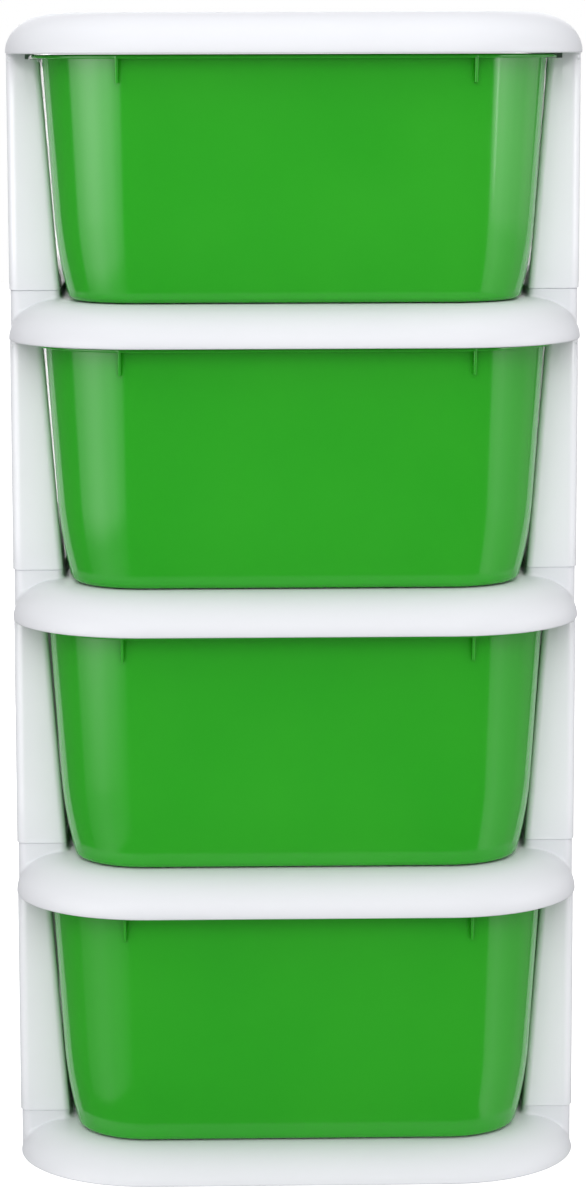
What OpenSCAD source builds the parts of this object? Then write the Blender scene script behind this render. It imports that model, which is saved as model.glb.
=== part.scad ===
// Plastic drawer tower with four hanging drawers.
// Origin: middle of the footprint on the floor. +Z up, the drawers pull out towards -Y.

/* [Tower] */
// Overall width, across the widest line of the shelves
tower_w = 330; // [290:1:420]
// Overall depth, from the front of the shelves to the flat back
tower_d = 390; // [330:1:480]
// Height of one tier, from the lip of one shelf to the lip of the next
tier_h = 163; // [140:1:220]

/* [Shelves] */
// Wall thickness of the shelves, the base and the cover
shelf_wall = 2.2; // [1.8:0.1:3]
// Plan radius of the front corners
corner_r = 78; // [60:1:85]
// Height of a shelf's flat top above its lip
shelf_h = 23; // [20:0.2:32]
// Depth of the rolled edge, from the widest line in to the flat top
roll_d = 29; // [22:1:36]
// Height of the widest line above the lip
nose_h = 1; // [0.5:0.1:5]
// How far the lip tucks in below the widest line
tuck = 1; // [0.5:0.1:4]
// Height above its lip where the base is cut off flat
base_cut = 5; // [3:0.5:8]
// Height of the side curbs above the flat top
curb_h = 5.4; // [4:0.2:12]
// How far the curbs stand back from the side panels
curb_step = 0.7; // [0.3:0.1:1.2]
// Number of stiffening ribs under a shelf that run front to back
long_ribs = 2; // [1:1:5]
// Number of stiffening ribs under a shelf that run side to side
cross_ribs = 3; // [2:1:6]
// Depth of the stiffening ribs
rib_h = 8; // [6:1:15]
// Thickness of all ribs, gussets and tongues
rib_t = 1.8; // [1.2:0.1:2.4]

/* [Side panels] */
// Wall thickness of the side panels
panel_wall = 2.2; // [1.8:0.1:3]
// Distance of the panels' front face behind the place where the shelves' round corners end
post_setback = 0; // [0:1:20]
// Width of the front post at its top
post_w = 19; // [18:0.1:26]
// Lean of the post's inner edge, in degrees
post_lean = 4.4; // [3:0.1:5]
// Front to back depth of the front post
post_d = 32; // [20:1:45]
// Radius of the post's outer front edge
post_edge_r = 6; // [4:0.5:9]
// Radius of the post's leaning inner edge
post_inner_r = 4; // [3:0.5:6]
// Width of the stiffening return along the panel's rear edge
rear_return = 6; // [4:0.5:12]
// Length of each joining tongue
tongue_l = 30; // [15:1:50]
// Distance of the first and the last tongue from the post and from the back
tongue_inset = 10; // [8:1:30]
// Height of each joining tongue
tongue_h = 8; // [5:0.5:10]
// Number of gussets under the runner
gussets = 2; // [1:1:6]
// Height of the gussets under the runner
gusset_h = 12; // [8:1:24]

/* [Drawers] */
// Wall thickness of the drawers
drawer_wall = 1.8; // [1.4:0.1:2.6]
// Lean of the drawer's walls, in degrees
draft = 3.8; // [3:0.1:5]
// Plan radius of the drawer's front corners, at the top
front_r = 56; // [45:1:62]
// Plan radius of the drawer's rear corners, at the top
rear_r = 36; // [32:1:50]
// Height of the curved lower part of the walls
belly_h = 45; // [30:1:60]
// Lean of the wall where the curved part meets the foot, in degrees
belly_lean = 15; // [12:1:24]
// Radius where the walls turn under into the floor
foot_r = 4; // [3:0.5:12]
// Width of the rim outside the walls
rim_w = 6; // [5:0.5:8]
// Height of the rim's edge
rim_h = 2.1; // [1.9:0.1:5]
// Thickness of the rim
rim_t = 1.5; // [1.2:0.1:1.8]
// Radius that rounds the rim's edges
rim_round = 0.8; // [0.4:0.1:0.9]
// Distance between the two gusset ribs under the front rim
gusset_gap = 200; // [140:1:200]
// Length of the gusset ribs below the rim
front_gusset_l = 13.5; // [8:0.5:20]
// How far the gusset ribs' lower ends stand out, and their upper ends stay behind the rim's edge
gusset_tip = 1; // [0.5:0.1:2]

/* [Clearances] */
// Gap between the drawer's wall and the post beside it, at the top
side_gap = 2.2; // [2:0.1:3]
// Gap between the rim and the lip above it
rim_gap = 0.5; // [0.4:0.1:2]
// Gap between the rim and the runner that it slides on
slide_gap = 0.3; // [0.2:0.05:0.6]
// Gap between the drawer's floor and the shelf below it
floor_gap = 0.6; // [0.5:0.1:2]
// Gap at each side between the rim and the runner's guide wall
guide_gap = 4; // [2:0.5:5]
// Gap around the joining tongues
fit_gap = 0.3; // [0.2:0.05:0.5]
// Distance of the front edge of the rim behind the front of the shelves
rim_setback = 10; // [6:0.5:12]
// Distance of the rear edge of the rim ahead of the back
rear_gap = 10; // [6:1:30]

/* [Hidden] */
TIERS = 4;
$fn = 96;
eps = 0.5;

frame_white = [0.91, 0.93, 0.95];
drawer_green = [0.13, 0.58, 0.11];

half_w = tower_w / 2;
front_y = -tower_d / 2;
back_y = tower_d / 2;
post_y = front_y + corner_r + post_setback;

// The base is a shelf cut off above its lip, so the lowest lip lies below the floor.
function lip_z(level) = level * tier_h - base_cut;

// Side panel: heights from its own foot, widths from its outer face.
panel_h = tier_h - shelf_h - curb_h;
panel_d = back_y - post_y;
post_foot_w = post_w + panel_h * tan(post_lean);
runner_z = panel_h - rim_gap - rim_h - slide_gap;
guide_u = post_w + side_gap - rim_w - guide_gap;

// Drawer: outside half width and ends of the walls at the top.
drawer_hw = half_w - post_w - side_gap;
drawer_front = front_y + rim_setback + rim_w;
drawer_back = back_y - rear_gap - rim_w;
drawer_h = tier_h - shelf_h - floor_gap - rim_gap;

// Points of an elliptical arc from angle a0 to angle a1. A first of 1 leaves out its first point,
// where the arc goes on from the one before it.
function arc(cx, cz, rx, rz, a0, a1, steps, first = 0) =
    [for (i = [first:steps]) let (a = a0 + (a1 - a0) * i / steps) [cx + rx * cos(a), cz + rz * sin(a)]];

// Edge profile of a shelf, inset by t: [distance in from the widest line, height above the lip].
function roll_profile(t) = concat(
    arc(tuck + t, nose_h, tuck, nose_h, 270, 180, 3),
    arc(roll_d, nose_h, roll_d - t, shelf_h - nose_h - t, 180, 90, 12, 1));

// How far in a shelf's skin of thickness t reaches at a height above the lip.
function skin_inset(z, t) =
    roll_d - (roll_d - t) * sqrt(1 - pow((z - nose_h) / (shelf_h - nose_h - t), 2));

// Wall profile of a drawer, inset by t: foot radius, curved part, then the leaning wall to a top.
function wall_profile(t, top) = let (
    lean = 180 + draft,
    foot = 180 + belly_lean,
    belly_r = belly_h / (sin(belly_lean) - sin(draft)),
    straight_h = drawer_h - belly_h - foot_r * (1 - sin(belly_lean)),
    bend_x = straight_h * tan(draft),
    bend_z = drawer_h - straight_h,
    belly_x = bend_x - belly_r * cos(lean),
    belly_z = bend_z - belly_r * sin(lean),
    foot_x = belly_x + (belly_r - foot_r) * cos(foot),
    foot_z = belly_z + (belly_r - foot_r) * sin(foot))
    concat(
        arc(foot_x, foot_z, foot_r - t, foot_r - t, 270, foot, 5),
        arc(belly_x, belly_z, belly_r - t, belly_r - t, foot, lean, 5, 1),
        [[t / cos(draft) - (top - drawer_h) * tan(draft), top]]);

// The rim goes on from the wall: out under its plate, down inside its edge, and up round it.
function rim_profile() = let (skirt = rim_w - rib_t, edge_x = rim_round - rim_w) concat(
    [[-skirt, drawer_h - rim_t], [-skirt, drawer_h - rim_h]],
    arc(edge_x, drawer_h - rim_h + rim_round, rim_round, rim_round, 270, 180, 2),
    arc(edge_x, drawer_h - rim_round, rim_round, rim_round, 180, 90, 2));

function first_z(prof) = prof[0][1];
function last_z(prof) = prof[len(prof) - 1][1];

// A solid whose front edge and sides follow a profile, with round front corners in plan
// and a flat end at y1.
module round_front(hw, y0, y1, r, prof) {
    z0 = first_z(prof);
    z1 = last_z(prof);
    for (side = [-1, 1])
        translate([side * (hw - r), y0 + r, 0]) rotate([0, 0, side < 0 ? 180 : 270])
            rotate_extrude(angle = 90)
                polygon(concat([[0, z0]], [for (p = prof) [r - p[0], p[1]]], [[0, z1]]));
    translate([-(hw - r), 0, 0]) rotate([90, 0, 90]) linear_extrude(2 * (hw - r))
        polygon(concat([[y0 + r, z0]], [for (p = prof) [y0 + p[0], p[1]]], [[y0 + r, z1]]));
    translate([0, y1, 0]) rotate([90, 0, 0]) linear_extrude(y1 - y0 - r)
        polygon(concat([for (p = prof) [-hw + p[0], p[1]]],
                       [for (i = [len(prof) - 1:-1:0]) [hw - prof[i][0], prof[i][1]]]));
}

// The same with round corners at both ends.
module round_tub(hw, y0, y1, r0, r1, prof) {
    middle = (y0 + y1) / 2;
    round_front(hw, y0, middle + eps, r0, prof);
    mirror([0, 1, 0]) round_front(hw, -y1, -middle, r1, prof);
}

// Stiffening ribs under the flat top, before they are trimmed to the roll.
module under_ribs() {
    top = shelf_h - shelf_wall / 2;
    rib_x = half_w - post_foot_w;
    rib_y0 = front_y + roll_d;
    rib_y1 = back_y - shelf_wall / 2;
    for (i = [0:long_ribs - 1])
        translate([(i - (long_ribs - 1) / 2) * 2 * rib_x / (long_ribs + 1) - rib_t / 2, rib_y0, top - rib_h])
            cube([rib_t, rib_y1 - rib_y0, rib_h]);
    for (i = [0:cross_ribs - 1])
        translate([-rib_x, rib_y0 + i * (rib_y1 - rib_y0) / cross_ribs, top - rib_h])
            cube([2 * rib_x, rib_t, rib_h]);
}

// A domed plate with its rolled edge at the front and sides, open underneath.
module rolled_plate() {
    difference() {
        round_front(half_w, front_y, back_y, corner_r, roll_profile(0));
        round_front(half_w, front_y, back_y - shelf_wall, corner_r,
                    concat([[tuck + shelf_wall, -eps]], roll_profile(shelf_wall)));
    }
    intersection() {
        under_ribs();
        round_front(half_w, front_y, back_y, corner_r, roll_profile(shelf_wall / 2));
    }
}

// Places of the joining tongues along a side, from the panel's front face.
function tongue_y() = let (first = post_d + tongue_inset, last = panel_d - tongue_inset - tongue_l)
    [first, (first + last) / 2, last];

// Rectangle from the origin with its two front corners rounded, left by r0 and right by r1.
module post_plan(w, d, r0, r1) {
    translate([r0, 0]) square([w - r0 - r1, d]);
    translate([0, r0]) square([w / 2, d - r0]);
    translate([w / 2, r1]) square([w / 2, d - r1]);
    translate([r0, r0]) circle(r0);
    translate([w - r1, r1]) circle(r1);
}

// The left curb as a solid, with the joining tongues and the post's plug on top.
module curb() {
    top = shelf_h + curb_h;
    tongue_z = top - shelf_wall / 2;
    tongue_len = tongue_h + shelf_wall / 2;
    translate([-half_w + curb_step, post_y + curb_step, nose_h]) linear_extrude(top - nose_h)
        post_plan(post_foot_w - curb_step, panel_d - curb_step, post_edge_r, post_inner_r);
    for (y = tongue_y())
        translate([-half_w + panel_wall + fit_gap, post_y + y, tongue_z])
            cube([rib_t, tongue_l, tongue_len]);
    translate([-half_w + post_edge_r, post_y + panel_wall + fit_gap, tongue_z])
        cube([post_w - panel_wall - post_edge_r, rib_t, tongue_len]);
}

// Space inside the left curb, through the plate's own skin.
module curb_hollow() {
    wall = curb_step + shelf_wall;
    translate([-half_w + wall, post_y + wall, nose_h - eps])
        linear_extrude(shelf_h + curb_h - shelf_wall - nose_h + eps)
            post_plan(post_foot_w - wall - shelf_wall, panel_d - wall - shelf_wall,
                      post_edge_r - shelf_wall, post_inner_r - shelf_wall);
}

module shelf() {
    difference() {
        union() {
            rolled_plate();
            for (side = [0, 1]) mirror([side, 0, 0]) curb();
        }
        for (side = [0, 1]) mirror([side, 0, 0]) curb_hollow();
    }
}

module shelf_at(level) {
    color(frame_white) translate([0, 0, lip_z(level)]) shelf();
}

module top_cover() {
    color(frame_white) translate([0, 0, lip_z(TIERS)]) rolled_plate();
}

module base() {
    color(frame_white) intersection() {
        translate([0, 0, lip_z(0)]) shelf();
        translate([-tower_w, -tower_d, 0]) cube([2 * tower_w, 2 * tower_d, tier_h]);
    }
}

// Hollow front post in the panel's own frame: x in from the outer face, y back from the front.
module post() {
    lean_len = panel_h / cos(post_lean) + 2 * post_w;
    // outer edge and front face, up to the leaning inner part
    difference() {
        linear_extrude(panel_h) difference() {
            rounded_edge(post_foot_w, post_d, post_edge_r);
            translate([panel_wall, panel_wall])
                rounded_edge(post_foot_w, post_d, post_edge_r - panel_wall);
        }
        translate([post_w - post_inner_r, -eps, panel_h]) rotate([0, -post_lean, 0]) translate([0, 0, -lean_len])
            cube([post_foot_w, post_d + 2 * eps, 2 * lean_len]);
    }
    // leaning inner part
    intersection() {
        translate([post_w, 0, panel_h]) rotate([0, -post_lean, 0]) translate([0, 0, -lean_len])
            linear_extrude(2 * lean_len) mirror([1, 0]) difference() {
                rounded_edge(post_inner_r + eps, post_d, post_inner_r);
                translate([panel_wall, panel_wall])
                    rounded_edge(post_inner_r + 2 * eps, post_d, post_inner_r - panel_wall);
            }
        cube([post_foot_w + eps, post_d, panel_h]);
    }
}

// Rectangle from the origin with the corner at the origin rounded.
module rounded_edge(w, d, r) {
    translate([r, 0]) square([w - r, d]);
    translate([0, r]) square([w, d - r]);
    translate([r, r]) circle(r);
}

// Runner, guide wall and top rail, with gussets below.
module runner() {
    rim_hw = drawer_hw + rim_w;
    rear_rim_r = rear_r + rim_w;
    // the rim's rear corner meets the stop where its round crosses the stop's inner face
    stop_x = half_w - post_w - (rim_hw - rear_rim_r);
    stop_y = drawer_back + rim_w - rear_rim_r + sqrt(pow(rear_rim_r, 2) - pow(stop_x, 2)) - post_y;
    translate([0, 0, panel_h - rim_t]) cube([guide_u, panel_d, rim_t]);
    translate([guide_u - rib_t, 0, runner_z - rim_t]) cube([rib_t, panel_d, panel_h - runner_z + rim_t]);
    translate([0, panel_wall, runner_z - rim_t]) cube([post_w, panel_d - panel_wall, rim_t]);
    translate([post_w - panel_wall, stop_y + fit_gap, runner_z - rim_t])
        cube([panel_wall, panel_wall, rim_t + slide_gap + rim_h]);
    for (i = [1:gussets])
        translate([0, post_d + i * (panel_d - post_d) / (gussets + 1), runner_z - rim_t / 2])
            rotate([90, 0, 0]) linear_extrude(rib_t)
                polygon([[panel_wall / 2, 0], [post_w - rim_t, 0], [panel_wall / 2, -gusset_h]]);
}

// Left side panel in the panel's own frame.
module panel_shape() {
    rail_z = runner_z - rim_t - eps;
    difference() {
        union() {
            post();
            translate([0, post_edge_r, 0]) cube([panel_wall, panel_d - post_edge_r, panel_h]);
            translate([0, panel_d - panel_wall, 0]) cube([rear_return, panel_wall, panel_h]);
            runner();
        }
        // notch that lets the rim in over the front post
        translate([guide_u, -eps, runner_z]) cube([post_w, post_d + eps, panel_h]);
        // the outer front edge stays round along the runner and the rail
        difference() {
            translate([-eps, -eps, rail_z]) cube([post_edge_r + eps, post_edge_r + eps, tier_h]);
            translate([post_edge_r, post_edge_r, 0]) cylinder(r = post_edge_r, h = 2 * tier_h);
        }
    }
    for (y = tongue_y())
        translate([skin_inset(tongue_h, shelf_wall) + fit_gap, y, panel_h - rim_t / 2])
            cube([rib_t, tongue_l, tongue_h + rim_t / 2]);
}

// Tier 1 is the top one.
module side_panel(tier, right) {
    color(frame_white) mirror([right ? 1 : 0, 0, 0])
        translate([-half_w, post_y, lip_z(TIERS - tier) + shelf_h + curb_h]) panel_shape();
}

// One moulding: tub, rim and the two gusset ribs under the front rim.
module drawer_shape() {
    difference() {
        union() {
            round_tub(drawer_hw, drawer_front, drawer_back, front_r, rear_r,
                      concat(wall_profile(0, drawer_h - rim_t), rim_profile()));
            for (side = [-1, 1])
                translate([side * gusset_gap / 2 - rib_t / 2, drawer_front, drawer_h - rim_t / 2])
                    front_gusset();
        }
        round_tub(drawer_hw, drawer_front, drawer_back, front_r, rear_r,
                  wall_profile(drawer_wall, drawer_h + eps));
    }
}

// Tapering rib in the (y, z) plane, from the rim down the front wall.
module front_gusset() {
    reach = rim_w - gusset_tip;
    length = front_gusset_l + rim_h - rim_t / 2;
    rotate([90, 0, 90]) linear_extrude(rib_t)
        polygon([[drawer_wall / 2, 0], [-reach, 0], [-reach, -rim_h], [-gusset_tip, -length],
                 [drawer_wall / 2 + length * tan(draft), -length]]);
}

module drawer(tier) {
    color(drawer_green) translate([0, 0, lip_z(TIERS - tier) + shelf_h + floor_gap]) drawer_shape();
}

top_cover();
shelf_at(3);  // shelf_upper
shelf_at(2);  // shelf_middle
shelf_at(1);  // shelf_lower
base();
side_panel(1, false);  // side_panel_left_1
side_panel(2, false);  // side_panel_left_2
side_panel(3, false);  // side_panel_left_3
side_panel(4, false);  // side_panel_left_4
side_panel(1, true);  // side_panel_right_1
side_panel(2, true);  // side_panel_right_2
side_panel(3, true);  // side_panel_right_3
side_panel(4, true);  // side_panel_right_4
drawer(1);  // drawer_1
drawer(2);  // drawer_2
drawer(3);  // drawer_3
drawer(4);  // drawer_4
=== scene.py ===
from math import cos, degrees, pi, radians, sin, sqrt, tan

import bmesh
import bpy
from mathutils import Matrix, Vector


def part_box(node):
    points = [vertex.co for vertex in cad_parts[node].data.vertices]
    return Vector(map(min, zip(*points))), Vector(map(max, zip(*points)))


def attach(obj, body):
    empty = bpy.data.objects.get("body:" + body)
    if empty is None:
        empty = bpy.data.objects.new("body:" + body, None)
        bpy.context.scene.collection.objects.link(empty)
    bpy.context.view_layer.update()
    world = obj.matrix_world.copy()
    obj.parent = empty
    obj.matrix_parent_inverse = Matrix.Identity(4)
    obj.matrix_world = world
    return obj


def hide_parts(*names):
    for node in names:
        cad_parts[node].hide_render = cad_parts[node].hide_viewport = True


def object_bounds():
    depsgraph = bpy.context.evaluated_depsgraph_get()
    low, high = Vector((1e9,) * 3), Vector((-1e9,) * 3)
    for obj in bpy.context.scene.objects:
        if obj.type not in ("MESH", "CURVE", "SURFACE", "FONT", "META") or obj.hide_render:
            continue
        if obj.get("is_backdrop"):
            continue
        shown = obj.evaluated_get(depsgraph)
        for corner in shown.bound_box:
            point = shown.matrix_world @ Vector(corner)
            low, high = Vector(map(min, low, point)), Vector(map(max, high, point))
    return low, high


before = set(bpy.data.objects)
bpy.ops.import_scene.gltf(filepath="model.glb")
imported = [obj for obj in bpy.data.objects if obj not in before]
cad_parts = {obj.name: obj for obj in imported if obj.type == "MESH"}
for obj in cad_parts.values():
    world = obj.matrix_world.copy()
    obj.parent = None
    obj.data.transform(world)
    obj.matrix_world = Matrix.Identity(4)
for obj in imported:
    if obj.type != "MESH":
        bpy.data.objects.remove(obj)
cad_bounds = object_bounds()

# Base and shelves
# ----------------
# Four mouldings of satin white polypropylene: three equal shelves, and the base, which is a shelf
# cut off just above its lip. Each has a rolled edge at the front and sides, ribs underneath, and
# two hollow curbs that the side panels stand on, held by three tongues and a plug.

mm = 0.001
shelf_low, shelf_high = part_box("shelf_upper")
half_width = shelf_high.x
front = shelf_low.y
back = shelf_high.y
tier = shelf_low.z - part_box("shelf_middle")[0].z
shelf_wall = 2.2 * mm
corner_radius = 78 * mm
corner_x = half_width - corner_radius
corner_y = front + corner_radius
flat_height = 23 * mm
roll_depth = 29 * mm
nose_height = 1 * mm
lip_tuck = 1 * mm
lip_round = 0.5 * mm
base_cut = 5 * mm
rib_wall = 1.8 * mm
rib_depth = 8 * mm
rib_rows = 3
rib_columns = 2

curb_height = 5.4 * mm
curb_step = 0.7 * mm
curb_round = 0.9 * mm
curb_outer_radius = 6 * mm
curb_inner_radius = 4 * mm
curb_back_gap = 0.05 * mm
foot_fillet = 2.6 * mm
foot_sink = 0.3 * mm
fit = 0.3 * mm
tongue_length = 30 * mm
tongue_height = 8 * mm
tongue_inset = 10 * mm

panel_wall = 2.2 * mm
panel_front = corner_y
panel_depth = back - panel_front
panel_height = tier - flat_height - curb_height
post_width = 19 * mm
post_depth = 32 * mm
post_lean = radians(4.4)
post_foot = post_width + panel_height * tan(post_lean)

# Points this far past each round keep the flat faces evenly shaded.
support = 4 * mm


def arc(centre_a, centre_b, radius_a, radius_b, start, end, steps, first=0):
    """Points of an elliptical arc, with its angles in degrees."""
    angles = [radians(start + (end - start) * i / steps) for i in range(first, steps + 1)]
    return [(centre_a + radius_a * cos(a), centre_b + radius_b * sin(a)) for a in angles]


def placed(name, data):
    """A new object in the scene, from a mesh, a lamp or a camera."""
    piece = bpy.data.objects.new(name, data)
    bpy.context.scene.collection.objects.link(piece)
    return piece


def smooth(piece):
    """Smooth shading, with a crease along each edge that turns by more than 35 degrees."""
    smoothest_crease = radians(35)
    mesh = bmesh.new()
    mesh.from_mesh(piece.data)
    bmesh.ops.recalc_face_normals(mesh, faces=mesh.faces)
    for face in mesh.faces:
        face.smooth = True
    for edge in mesh.edges:
        joins_two = len(edge.link_faces) == 2
        edge.smooth = joins_two and edge.calc_face_angle(0) < smoothest_crease
    mesh.to_mesh(piece.data)
    mesh.free()


def skinned(name, loops):
    """A closed solid: loops of equal length bridged one to the next, with a face at each end."""
    count = len(loops[0])
    points = [point for loop in loops for point in loop]
    last = len(points) - count
    faces = []
    for start in range(0, last, count):
        for k in range(count):
            after = (k + 1) % count
            faces.append([start + k, start + after, start + count + after, start + count + k])
    faces.append(list(range(count))[::-1])
    faces.append(list(range(last, len(points))))
    data = bpy.data.meshes.new(name)
    data.from_pydata(points, [], faces)
    mesh = bmesh.new()
    mesh.from_mesh(data)
    bmesh.ops.remove_doubles(mesh, verts=mesh.verts, dist=1e-7)
    bmesh.ops.recalc_face_normals(mesh, faces=mesh.faces)
    mesh.to_mesh(data)
    mesh.free()
    return placed(name, data)


def upright(name, outline, low, high):
    """A solid with the same plan outline from one height to another."""
    return skinned(name, [[(x, y, z) for x, y in outline] for z in (low, high)])


def block(low, high):
    """A closed box between two corners, for tongues, stops and notches."""
    plan = [(low[0], low[1]), (high[0], low[1]), (high[0], high[1]), (low[0], high[1])]
    return upright("block", plan, low[2], high[2])


def settle(piece):
    """Gives a piece the mesh that its modifiers make of it."""
    bpy.context.view_layer.update()
    finished = piece.evaluated_get(bpy.context.evaluated_depsgraph_get())
    shaped = bpy.data.meshes.new_from_object(finished)
    piece.modifiers.clear()
    piece.data = shaped


def mould(piece, tools, operation="UNION"):
    """Adds the tools to the piece, or cuts them out of it, and deletes them."""
    tools = list(tools)
    for tool in tools:
        step = piece.modifiers.new("step", "BOOLEAN")
        step.object = tool
        step.operation = operation
        step.solver = "EXACT"
    settle(piece)
    for tool in tools:
        bpy.data.objects.remove(tool)


def moved(name, pattern, offset, mirror=False):
    """A piece from the same tool, further up the tower or on its other side."""
    piece = placed(name, pattern.data.copy())
    if mirror:
        piece.data.transform(Matrix.Diagonal((-1, 1, 1, 1)))
        piece.data.flip_normals()
    piece.data.transform(Matrix.Translation(offset))
    return piece


def mirrored(pieces):
    """Each piece of the left side, and the same one for the right side."""
    for piece in pieces:
        yield piece
        yield moved(piece.name, piece, (0, 0, 0), mirror=True)


def skin_inset(height, skin=0):
    """How far in the rolled edge's outer surface lies at a height above the lip, or its inner one."""
    rise = (height - nose_height) / (flat_height - nose_height - skin)
    return roll_depth - (roll_depth - skin) * sqrt(1 - rise * rise)


def plate_height(x, y):
    """Height of a shelf's upper surface above its lip."""
    inset = min(half_width - abs(x), y - front)
    if abs(x) > corner_x and y < corner_y:
        inset = corner_radius - sqrt((abs(x) - corner_x) ** 2 + (y - corner_y) ** 2)
    rise = max(0, 1 - inset / roll_depth)
    return nose_height + (flat_height - nose_height) * sqrt(max(0, 1 - rise * rise))


def plate_loop(inset, height, back_inset):
    """Round the plate at one inset from its widest line, with a straight back."""
    radius = corner_radius - inset
    right = [(0, front + inset), (corner_x - support, front + inset)]
    right += arc(corner_x, corner_y, radius, radius, 270, 360, 22)
    right += [(half_width - inset, corner_y + support), (half_width - inset, back - back_inset)]
    left = [(-x, y) for x, y in right[:0:-1]]
    return [(x, y, height) for x, y in left + right]


def plate_profile(cut=None):
    """Edge of a shelf from its flat top outside to its flat top inside: inset, height, back inset.
    The base's is cut off flat at a height above the lip."""
    rise = flat_height - nose_height
    outside = [(roll_depth + support, flat_height)]
    outside += arc(roll_depth, nose_height, roll_depth, rise, 90, 180, 28)
    inside = arc(roll_depth, nose_height, roll_depth - shelf_wall, rise - shelf_wall, 180, 90, 20)
    if cut is None:
        outside += arc(lip_tuck, nose_height, lip_tuck, nose_height, 180, 270, 6, 1)
        outside += arc(lip_tuck, lip_round, lip_round, lip_round, 270, 350, 4, 1)
        behind_lip = arc(lip_tuck + shelf_wall, nose_height, lip_tuck, nose_height, 235, 180, 3)
        inside = behind_lip + inside[1:]
    else:
        edge = skin_inset(cut + lip_round) + lip_round
        under = arc(edge, cut + lip_round, lip_round, lip_round, 180, 270, 4)
        outside = [point for point in outside if point[1] > under[0][1]] + under
        above_cut = [point for point in inside if point[1] > cut]
        inside = [(skin_inset(cut, shelf_wall), cut)] + above_cut
    inside.append((roll_depth + support, flat_height - shelf_wall))
    return [(x, z, 0) for x, z in outside] + [(x, z, shelf_wall) for x, z in inside]


def ribs():
    """Stiffening ribs under the plate, their tops inside its skin."""
    half, low = rib_wall / 2, flat_height - shelf_wall / 2 - rib_depth
    reach = half_width - post_foot
    start, end = front + roll_depth, back - shelf_wall / 2
    column_steps, row_steps = 24, 40
    lines = []
    for i in range(rib_columns):
        x = (i - (rib_columns - 1) / 2) * 2 * reach / (rib_columns + 1)
        lines.append((half, 0, [(x, start + (end - start) * k / column_steps)
                                for k in range(column_steps + 1)]))
    for i in range(rib_rows):
        y = start + i * (end - start) / rib_rows + half
        lines.append((0, half, [(-reach + 2 * reach * k / row_steps, y)
                                for k in range(row_steps + 1)]))
    for side_x, side_y, line in lines:
        loops = []
        for x, y in line:
            top = plate_height(x, y) - shelf_wall / 2
            loops.append([(x - side_x, y - side_y, low), (x + side_x, y + side_y, low),
                          (x + side_x, y + side_y, top), (x - side_x, y - side_y, top)])
        yield skinned("rib", loops)


def curb_outline(grow, grow_outer):
    """Plan of the left curb, which ends a hair short of the plate's back. Its front and inner side
    are grown by one amount, its outer side and back by another."""
    outer_x = -half_width + curb_step - grow_outer
    inner_x = -half_width + post_foot
    front_y = panel_front + curb_step
    rear_y = back - curb_back_gap + grow_outer
    outline = [(outer_x, rear_y), (outer_x, front_y + curb_outer_radius + support)]
    outline += arc(-half_width + curb_step + curb_outer_radius, front_y + curb_outer_radius,
                   curb_outer_radius + grow_outer, curb_outer_radius + grow, 180, 270, 8)
    outline += arc(inner_x - curb_inner_radius, front_y + curb_inner_radius,
                   curb_inner_radius + grow, curb_inner_radius + grow, 270, 360, 8)
    outline += [(inner_x + grow, front_y + curb_inner_radius + support), (inner_x + grow, rear_y)]
    return outline


def curb():
    """The left curb as a solid, with a fillet at its foot that follows the rolled plate."""
    top = flat_height + curb_height
    lowest_inside = base_cut + lip_round
    wall = curb_outline(0, 0)
    loops = []
    for angle in (90, 60, 30, 0):
        shrink = curb_round * (1 - cos(radians(angle)))
        drop = curb_round * (1 - sin(radians(angle)))
        loops.append([(x, y, top - drop) for x, y in curb_outline(-shrink, -shrink)])
    for angle in range(0, 91, 15):
        grow = foot_fillet * (1 - cos(radians(angle)))
        lift = foot_fillet * (1 - sin(radians(angle)))
        loops.append([(x, y, plate_height(x, y) + lift) for x, y in curb_outline(grow, 0)])
    loops.append([(x, y, plate_height(x, y) - foot_sink)
                  for x, y in curb_outline(foot_fillet + fit, 0)])
    loops.append([(x, y, max(plate_height(x, y) - shelf_wall / 2, lowest_inside))
                  for x, y in wall])
    loops.append([(x, y, base_cut) for x, y in wall])
    return skinned("curb", loops)


def curb_hollow():
    """What is cut out of the left curb from below, to leave it one wall thick."""
    return upright("hollow", curb_outline(-shelf_wall, -shelf_wall),
                   -shelf_wall, flat_height + curb_height - shelf_wall)


def tongues(x, low, high):
    """Three plates in a row along the left side, behind the post."""
    first = post_depth + tongue_inset
    last = panel_depth - tongue_inset - tongue_length
    for place in (first, (first + last) / 2, last):
        y = panel_front + place
        yield block((x, y, low), (x + rib_wall, y + tongue_length, high))


def curb_tongues():
    """The left curb's tongues, inside the panel's outer wall, and the plug inside its post."""
    low = flat_height + curb_height - shelf_wall / 2
    high = flat_height + curb_height + tongue_height
    yield from tongues(-half_width + panel_wall + fit, low, high)
    plug_y = panel_front + panel_wall + fit
    yield block((-half_width + curb_outer_radius, plug_y, low),
                (-half_width + post_width - panel_wall, plug_y + rib_wall, high))


def shelf_body(name, cut=None):
    """A whole shelf with its lip at height 0, or the part of one that is the base."""
    plate = skinned(name, [plate_loop(*point) for point in plate_profile(cut)])
    mould(plate, mirrored([curb()]))
    mould(plate, mirrored([curb_hollow()]), "DIFFERENCE")
    mould(plate, ribs())
    mould(plate, mirrored(curb_tongues()))
    smooth(plate)
    return plate


def noise(nodes, links, scale, detail):
    """Noise over a piece's own coordinates, with its size in features to the metre."""
    place = nodes.new("ShaderNodeTexCoord").outputs["Object"]
    texture = nodes.new("ShaderNodeTexNoise")
    texture.inputs["Scale"].default_value = scale
    texture.inputs["Detail"].default_value = detail
    links.new(place, texture.inputs["Vector"])
    return texture.outputs["Fac"]


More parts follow.
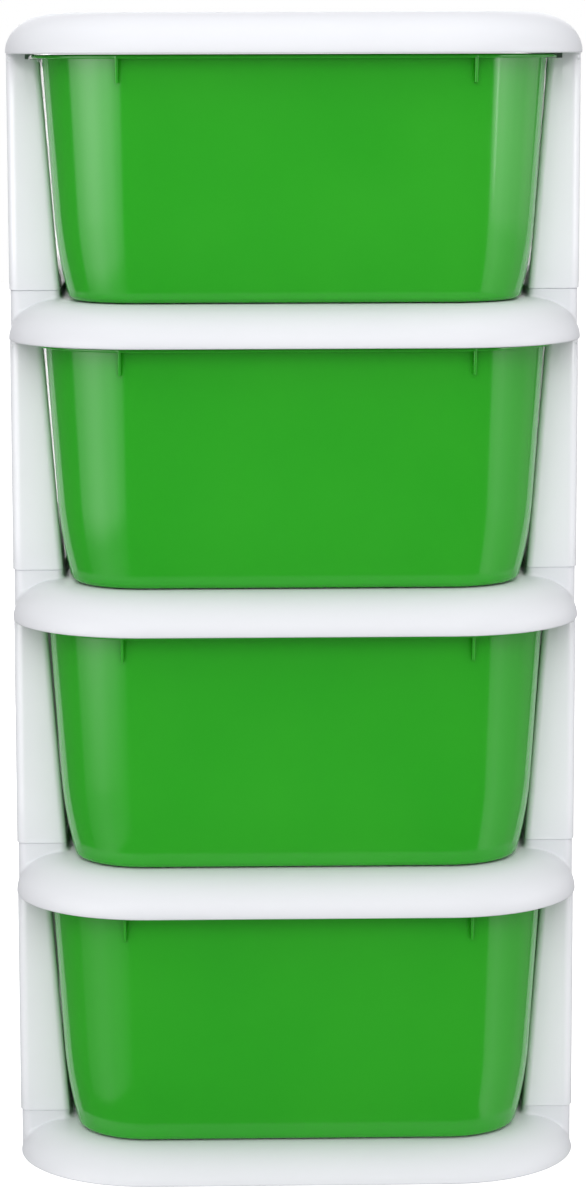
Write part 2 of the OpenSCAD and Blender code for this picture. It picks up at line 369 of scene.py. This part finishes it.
def ramp(nodes, links, factor, stops, blend="LINEAR"):
    """Turns a factor into values or colours, given as stops: a place from 0 to 1 and its level."""
    change = nodes.new("ShaderNodeValToRGB")
    change.color_ramp.interpolation = blend
    marks = change.color_ramp.elements
    for i, (place, level) in enumerate(stops):
        mark = marks[i] if i < 2 else marks.new(place)
        mark.position = place
        mark.color = (*level, 1) if isinstance(level, tuple) else (level, level, level, 1)
    links.new(factor, change.inputs["Fac"])
    return change.outputs["Color"]


def bump(nodes, links, factor, depth, normal=None):
    """Raises the surface by up to a depth, on top of a coarser bump if there is one."""
    raised = nodes.new("ShaderNodeBump")
    raised.inputs["Distance"].default_value = depth
    raised.inputs["Strength"].default_value = 1
    links.new(factor, raised.inputs["Height"])
    if normal is not None:
        links.new(normal, raised.inputs["Normal"])
    return raised.outputs["Normal"]


def moulded_plastic(name, darker, lighter, gloss, rubbed, waves, wave_depth):
    """Moulded polypropylene: colour that drifts a little with the melt's flow, a surface that is
    slightly wavy from sink and finely pebbled from the tool, and a sheen with faint rub marks.
    The waves' number is to the metre."""
    refraction = 1.49
    flows, rubs, pebbles = 9, 60, 1400
    pebble_depth = 0.003 * mm
    material = bpy.data.materials.new(name)
    material.use_nodes = True
    nodes, links = material.node_tree.nodes, material.node_tree.links
    shader = nodes["Principled BSDF"]
    shader.inputs["IOR"].default_value = refraction
    colour = ramp(nodes, links, noise(nodes, links, flows, 2), [(0.35, darker), (0.65, lighter)])
    links.new(colour, shader.inputs["Base Color"])
    sheen = ramp(nodes, links, noise(nodes, links, rubs, 5), [(0.3, gloss), (0.8, rubbed)])
    links.new(sheen, shader.inputs["Roughness"])
    wavy = bump(nodes, links, noise(nodes, links, waves, 0), wave_depth)
    pebbled = bump(nodes, links, noise(nodes, links, pebbles, 2), pebble_depth, wavy)
    links.new(pebbled, shader.inputs["Normal"])
    return material


# Painted shade: the shelves and cover are the same white plastic as the side panels, given a darker
# colour here because their rolled edges face the light from above and in front.
shelf_white = moulded_plastic("white_shelf_plastic",
                              darker=(0.750, 0.759, 0.797), lighter=(0.762, 0.771, 0.808),
                              gloss=0.46, rubbed=0.50, waves=10.0, wave_depth=0.03 * mm)

shelf = shelf_body("shelf")
for name in ("shelf_lower", "shelf_middle", "shelf_upper"):
    piece = moved(name + "_shell", shelf, (0, 0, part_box(name)[0].z))
    piece.data.materials.append(shelf_white)
    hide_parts(name)
    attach(piece, "root")
bpy.data.objects.remove(shelf)

base = shelf_body("base_shell", base_cut)
base.data.transform(Matrix.Translation((0, 0, -base_cut)))
base.data.materials.append(shelf_white)
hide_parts("base")
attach(base, "root")

# Side panels
# -----------
# Eight white polypropylene mouldings, one for each side of each tier. The front edge turns in as a
# hollow post whose inner face leans with the drawer, and a runner inside carries the drawer's rim.
# They are pressed over the curb's tongues, and their own tongues go up inside the shelf above.

post_round = 6 * mm
post_inner_round = 4 * mm
rear_round = 1.2 * mm
rear_return = 6 * mm
edge_round = 0.35 * mm
gusset_height = 12 * mm
gusset_count = 2

# The drawer's rim and the room round it, which the runner, its guide and its stop are made to fit.
rim_thickness = 1.5 * mm
rim_height = 2.1 * mm
rim_width = 6 * mm
rear_radius = 36 * mm
rim_gap = 0.5 * mm
side_gap = 2.2 * mm
guide_gap = 4 * mm
slide_gap = 0.3 * mm
rear_gap = 10 * mm
runner_height = panel_height - rim_gap - rim_height - slide_gap
guide_inset = post_width + side_gap - rim_width - guide_gap


def panel_section(height):
    """Plan of the left panel at one height: in from its outer face, back from its front."""
    width = post_width + (panel_height - height) * tan(post_lean)
    inner = width - post_inner_round
    hollow_round = post_round - panel_wall
    hollow_inner_round = post_inner_round - panel_wall
    section = [(rear_return, panel_depth - panel_wall), (rear_return, panel_depth)]
    section += arc(rear_round, panel_depth - rear_round, rear_round, rear_round, 90, 180, 4)
    section += [(0, panel_depth / 2), (0, post_round + support)]
    section += arc(post_round, post_round, post_round, post_round, 180, 270, 12)
    section += [((post_round + inner) / 2, 0)]
    section += arc(inner, post_inner_round, post_inner_round, post_inner_round, 270, 360, 10)
    section += [(width, post_inner_round + support), (width, post_depth)]
    section += [(width - panel_wall, post_depth)]
    section += arc(inner, post_inner_round, hollow_inner_round, hollow_inner_round, 360, 270, 6)
    section += arc(post_round, post_round, hollow_round, hollow_round, 270, 180, 8)
    section += [(panel_wall, post_round + support), (panel_wall, panel_depth - panel_wall)]
    return [(-half_width + u, panel_front + v, height) for u, v in section]


def panel_block(low, high):
    """A box given by how far in from the left panel's outer face, back from its front, and up."""
    return block((-half_width + low[0], panel_front + low[1], low[2]),
                 (-half_width + high[0], panel_front + high[1], high[2]))


def along_panel(name, outline, start, end):
    """A solid with the same upright outline from one place to another along the left panel."""
    return skinned(name, [[(-half_width + u, panel_front + v, z) for u, z in outline]
                          for v in (start, end)])


def runner():
    """Top rail, guide wall and the runner's own floor in one section."""
    rail_low, floor_low = panel_height - rim_thickness, runner_height - rim_thickness
    inside, guide_side = panel_wall / 2, guide_inset - rib_wall
    section = [(inside, floor_low), (post_width, floor_low), (post_width, runner_height),
               (guide_inset, runner_height), (guide_inset, panel_height),
               (inside, panel_height), (inside, rail_low), (guide_side, rail_low),
               (guide_side, runner_height), (inside, runner_height)]
    return along_panel("runner", section, panel_wall / 2, panel_depth - panel_wall / 2)


def runner_gussets():
    """Triangular ribs that brace the runner's floor from below."""
    inside, top = panel_wall / 2, runner_height - rim_thickness / 2
    outline = [(inside, top), (post_width - rim_thickness, top), (inside, top - gusset_height)]
    for i in range(1, gusset_count + 1):
        end = post_depth + i * (panel_depth - post_depth) / (gusset_count + 1)
        yield along_panel("gusset", outline, end - rib_wall, end)


def runner_stop():
    """The stop on the runner that the rear corner of the closed drawer's rim meets."""
    rim_corner = rear_radius + rim_width
    across = side_gap - rim_width + rim_corner
    rim_back = panel_depth - rear_gap
    place = rim_back - rim_corner + sqrt(rim_corner ** 2 - across ** 2) + fit
    return panel_block((post_width - panel_wall, place, runner_height - rim_thickness),
                       (post_width, place + panel_wall, runner_height + slide_gap + rim_height))


def rounded_edges(piece, width):
    """A small round along the sharp edges, as a moulding tool leaves them."""
    rounding = piece.modifiers.new("edges", "BEVEL")
    rounding.width = width
    rounding.segments = 2
    rounding.angle_limit = radians(50)
    rounding.use_clamp_overlap = True
    settle(piece)


panel_steps = 6
panel = skinned("panel", [panel_section(panel_height * k / panel_steps)
                          for k in range(panel_steps + 1)])
rim_notch = panel_block((guide_inset, -support, runner_height),
                        (post_foot + support, post_depth + support, panel_height + support))
mould(panel, [rim_notch], "DIFFERENCE")
mould(panel, [runner()])
mould(panel, runner_gussets())
mould(panel, [runner_stop()])
rounded_edges(panel, edge_round)
mould(panel, tongues(-half_width + skin_inset(tongue_height, shelf_wall) + fit,
                     panel_height - rim_thickness / 2, panel_height + tongue_height))
smooth(panel)

# Painted light: the same white plastic as the shelves, given a lighter colour here to make up for the
# light that the shelves' overhang keeps off the posts.
panel_white = moulded_plastic("white_panel_plastic",
                              darker=(0.862, 0.872, 0.908), lighter=(0.876, 0.884, 0.920),
                              gloss=0.14, rubbed=0.18, waves=8.0, wave_depth=0.04 * mm)
for number in range(1, 5):
    for side, is_right in (("left", False), ("right", True)):
        node = f"side_panel_{side}_{number}"
        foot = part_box(node)[0].z
        piece = moved(node + "_shell", panel, (0, 0, foot), mirror=is_right)
        piece.data.materials.append(panel_white)
        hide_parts(node)
        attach(piece, "root")
bpy.data.objects.remove(panel)

# Drawers
# -------
# Four equal tubs of glossy leaf-green polypropylene, each one moulding with its rim. The walls lean
# in and then curve under to a flat floor, and two small gussets brace the rim at the front. The rim
# hangs on the side panels' runners and is all that the hand pulls on.

drawer_low, drawer_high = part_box("drawer_1")
drawer_height = drawer_high.z - drawer_low.z
drawer_half_width = drawer_high.x - rim_width
drawer_front = drawer_low.y + rim_width
drawer_back = drawer_high.y - rim_width
drawer_wall = 1.8 * mm
lean = radians(3.8)
front_radius = 56 * mm
belly_height = 45 * mm
belly_lean = radians(15)
foot_radius = 4 * mm
rim_round = 0.8 * mm
rim_gusset_spread = 200 * mm
rim_gusset_length = 13.5 * mm
rim_gusset_tip = 1.2 * mm


def wall_profile(inset, top):
    """A drawer's wall from its flat floor up: distance in from the wall's line at the top, height."""
    belly_radius = belly_height / (sin(belly_lean) - sin(lean))
    straight = drawer_height - belly_height - foot_radius * (1 - sin(belly_lean))
    belly_x = straight * tan(lean) + belly_radius * cos(lean)
    belly_z = drawer_height - straight + belly_radius * sin(lean)
    foot_x = belly_x - (belly_radius - foot_radius) * cos(belly_lean)
    foot_z = belly_z - (belly_radius - foot_radius) * sin(belly_lean)
    turn, lean_turn = 180 + degrees(belly_lean), 180 + degrees(lean)
    steps = 5
    profile = [(foot_x + support, foot_z - foot_radius + inset)]
    profile += arc(foot_x, foot_z, foot_radius - inset, foot_radius - inset, 270, turn, 12)
    profile += arc(belly_x, belly_z, belly_radius - inset, belly_radius - inset,
                   turn, lean_turn, 16, 1)
    start_x, start_z = profile[-1]
    end_x = inset / cos(lean) - (top - drawer_height) * tan(lean)
    for k in range(1, steps + 1):
        profile.append((start_x + (end_x - start_x) * k / steps,
                        start_z + (top - start_z) * k / steps))
    return profile


def rim_profile():
    """On from the wall: out under the rim's plate, down inside its edge, and up round it."""
    skirt = rim_width - rib_wall
    edge_x = rim_round - rim_width
    low, high = drawer_height - rim_height, drawer_height
    profile = [(-skirt, high - rim_thickness), (-skirt, low)]
    profile += arc(edge_x, low + rim_round, rim_round, rim_round, 270, 180, 5)
    profile += arc(edge_x, high - rim_round, rim_round, rim_round, 180, 90, 5)
    return profile


def tub_loop(inset, height):
    """Round a drawer at one inset from its wall's line at the top."""
    loop = []
    corners = ((-1, drawer_front, front_radius, 180), (1, drawer_front, front_radius, 270),
               (1, drawer_back, rear_radius, 0), (-1, drawer_back, rear_radius, 90))
    for side, end, radius, start in corners:
        into = 1 if end < 0 else -1
        centre_x, centre_y = side * (drawer_half_width - radius), end + into * radius
        reach = radius - inset
        turn = arc(centre_x, centre_y, reach, reach, start, start + 90, 20)
        before, after = radians(start), radians(start + 90)
        loop.append((turn[0][0] + support * sin(before), turn[0][1] - support * cos(before)))
        loop += turn
        loop.append((turn[-1][0] - support * sin(after), turn[-1][1] + support * cos(after)))
    return [(x, y, height) for x, y in loop]


def rim_gusset(x):
    """A tapering rib under the rim, with a round front edge."""
    top = drawer_height - rim_thickness / 2
    length = rim_gusset_length + rim_height - rim_thickness / 2
    inside = drawer_wall / 2
    loops = []
    for angle in range(-90, 91, 30):
        across = rib_wall / 2 * sin(radians(angle))
        back_off = rib_wall / 2 * (1 - cos(radians(angle)))
        reach, tip = rim_width - rim_gusset_tip - back_off, rim_gusset_tip - back_off
        outline = [(inside, top), (-reach, top), (-reach, top - rim_height), (-tip, top - length),
                   (inside + length * tan(lean), top - length)]
        loops.append([(x + across, drawer_front + y, z) for y, z in outline])
    return skinned("gusset", loops)


inner_edge_x = drawer_wall / cos(lean) + rim_round * tan(lean) - rim_round
inner_edge_z = drawer_height - rim_round
outside = wall_profile(0, drawer_height - rim_thickness) + rim_profile()
inner_edge = arc(inner_edge_x, inner_edge_z, rim_round, rim_round, 90, 0, 4)[:-1]
inside = wall_profile(drawer_wall, inner_edge_z)[::-1]
tub = skinned("tub", [tub_loop(*point) for point in outside + inner_edge + inside])
mould(tub, [rim_gusset(side * rim_gusset_spread / 2) for side in (-1, 1)])
smooth(tub)

drawer_green = moulded_plastic("green_drawer_plastic",
                               darker=(0.020, 0.365, 0.012), lighter=(0.025, 0.382, 0.014),
                               gloss=0.10, rubbed=0.15, waves=9.0, wave_depth=0.06 * mm)
for number in range(1, 5):
    node = f"drawer_{number}"
    piece = moved(node + "_tub", tub, (0, 0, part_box(node)[0].z))
    piece.data.materials.append(drawer_green)
    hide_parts(node)
    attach(piece, node)
bpy.data.objects.remove(tub)

# Top cover
# ---------
# One white polypropylene moulding: the shelves' plate with its rolled edge and ribs, without curbs.
# It is pressed down over the tongues of the top pair of side panels.

cover = skinned("top_cover_shell", [plate_loop(*point) for point in plate_profile()])
mould(cover, ribs())
smooth(cover)
cover.data.transform(Matrix.Translation((0, 0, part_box("top_cover")[0].z)))
cover.data.materials.append(shelf_white)
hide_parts("top_cover")
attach(cover, "root")

# Floor, backdrop and light
# -------------------------
# A seamless pale floor and backdrop, plain light all round, and soft boxes: a long one at each side
# and a thin strip at the right that only show in reflections, one above the camera, a dim one
# overhead and one behind. The floor doesn't hide the side ones from the drawers.

floor_corners = [(-8, -6, 0), (8, -6, 0), (8, 8, 0), (-8, 8, 0)]
floor_shade = 0.6
floor_roughness = 0.9
floor_glow = 0.8
plain_light = 0.83
reflected_light = 0.18
backdrop_light = 1

floor_mesh = bpy.data.meshes.new("floor")
floor_mesh.from_pydata(floor_corners, [], [(0, 1, 2, 3)])
floor = placed("floor", floor_mesh)
floor_white = bpy.data.materials.new("pale_floor")
floor_white.use_nodes = True
nodes, links = floor_white.node_tree.nodes, floor_white.node_tree.links
paint = nodes["Principled BSDF"]
paint.inputs["Base Color"].default_value = (floor_shade, floor_shade, floor_shade, 1)
paint.inputs["Roughness"].default_value = floor_roughness
glow = nodes.new("ShaderNodeEmission")
lift = nodes.new("ShaderNodeMath")
lift.operation = "MULTIPLY"
lift.inputs[1].default_value = floor_glow
links.new(nodes.new("ShaderNodeLightPath").outputs["Is Camera Ray"], lift.inputs[0])
links.new(lift.outputs[0], glow.inputs["Strength"])
both = nodes.new("ShaderNodeAddShader")
links.new(paint.outputs[0], both.inputs[0])
links.new(glow.outputs[0], both.inputs[1])
links.new(both.outputs[0], nodes["Material Output"].inputs["Surface"])
floor_mesh.materials.append(floor_white)
floor.visible_glossy = False
floor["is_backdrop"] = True

world = bpy.data.worlds.new("studio")
bpy.context.scene.world = world
world.use_nodes = True
nodes, links = world.node_tree.nodes, world.node_tree.links
sky = nodes["Background"]
sky.inputs["Color"].default_value = (1, 1, 1, 1)
ray_kinds = nodes.new("ShaderNodeLightPath")
all_round = nodes.new("ShaderNodeValue")
all_round.outputs[0].default_value = plain_light
strength = all_round.outputs[0]
for ray, light in (("Is Glossy Ray", reflected_light), ("Is Camera Ray", backdrop_light)):
    change = nodes.new("ShaderNodeMix")
    change.inputs["B"].default_value = light
    links.new(ray_kinds.outputs[ray], change.inputs["Factor"])
    links.new(strength, change.inputs["A"])
    strength = change.outputs["Result"]
links.new(strength, sky.inputs["Strength"])

even = [(0, 1), (1, 1)]


def soft_box(name, centre, target, width, height, brightness, across=even, upward=even):
    """A rectangular lamp that faces the target. A surface seen as white has a brightness of 1, and
    across and upward are stops of the lamp's share of its brightness along its width and height."""
    lamp = bpy.data.lights.new(name, "AREA")
    lamp.shape = "RECTANGLE"
    lamp.size, lamp.size_y = width, height
    lamp.energy = brightness * pi * width * height
    lamp.use_nodes = True
    nodes, links = lamp.node_tree.nodes, lamp.node_tree.links
    where = nodes.new("ShaderNodeSeparateXYZ")
    links.new(nodes.new("ShaderNodeNewGeometry").outputs["Parametric"], where.inputs["Vector"])
    share = nodes.new("ShaderNodeMath")
    share.operation = "MULTIPLY"
    links.new(ramp(nodes, links, where.outputs["X"], across, "EASE"), share.inputs[0])
    links.new(ramp(nodes, links, where.outputs["Y"], upward, "EASE"), share.inputs[1])
    links.new(share.outputs[0], nodes["Emission"].inputs["Strength"])
    holder = placed(name, lamp)
    holder.location = centre
    facing = (Vector(target) - Vector(centre)).to_track_quat("-Z", "Y")
    holder.rotation_euler = facing.to_euler()
    return holder


left_box = soft_box("left_box", centre=(-1.34, -1.05, 0.0), target=(0.0, -0.18, 0.0),
                    width=2.9, height=1.9, brightness=4.2,
                    across=[(0.08, 0), (0.14, 0.4), (0.45, 1), (0.62, 0.75), (0.8, 0.35),
                            (0.85, 0)],
                    upward=[(0.3, 0.18), (0.5, 0.6), (0.62, 0.66), (0.74, 1), (0.85, 1), (1, 0)])
right_box = soft_box("right_box", centre=(1.2, -0.1, 0.0), target=(0.0, -0.1, 0.0),
                     width=1.86, height=1.9, brightness=3.4,
                     across=[(0, 0), (0.04, 0.9), (0.2, 1), (0.35, 0.68), (0.45, 0.48),
                             (0.6, 0.33), (1, 0.15)],
                     upward=[(0.45, 0.3), (0.64, 0.42), (0.78, 1), (0.87, 1), (1, 0)])
right_strip = soft_box("right_strip", centre=(1.19, -0.83, 0.69), target=(0.0, -0.1, 0.69),
                       width=0.03, height=0.62, brightness=7.0)
for side_box in (left_box, right_box, right_strip):
    side_box.visible_diffuse = False
soft_box("front_box", centre=(-0.2, -2.6, 1.6), target=(0.0, 0.0, 0.35),
         width=2.4, height=1.2, brightness=2.7)
soft_box("top_box", centre=(0.0, -0.6, 2.2), target=(0.0, 0.0, 0.6),
         width=2.4, height=1.6, brightness=0.7)
back_box = soft_box("back_box", centre=(0.0, 1.9, 0.7), target=(0.0, 0.0, 0.4),
                    width=1.4, height=1.4, brightness=3.0)
back_box.visible_camera = False

# Camera
# ------
# A long lens in front of the tower, level with its cover and a little left of its middle. It looks
# slightly down, so that the lower tiers are seen from above.

camera_place = (-0.046, -2.1912, 0.648)
turn_right, look_down, roll = radians(1.231), radians(8.696), radians(-0.156)

camera_data = bpy.data.cameras.new("camera")
camera_data.sensor_fit = "VERTICAL"
camera_data.sensor_height = 36
camera_data.lens = 107.57
camera = placed("camera", camera_data)
camera.matrix_world = (Matrix.Translation(camera_place) @ Matrix.Rotation(-turn_right, 4, "Z")
                       @ Matrix.Rotation(pi / 2 - look_down, 4, "X") @ Matrix.Rotation(roll, 4, "Z"))
bpy.context.scene.camera = camera
bpy.context.scene.view_settings.view_transform = "Standard"

plain = lambda corners: [[round(value, 5) for value in corner] for corner in corners]
{"cad": plain(cad_bounds), "visual": plain(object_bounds())}
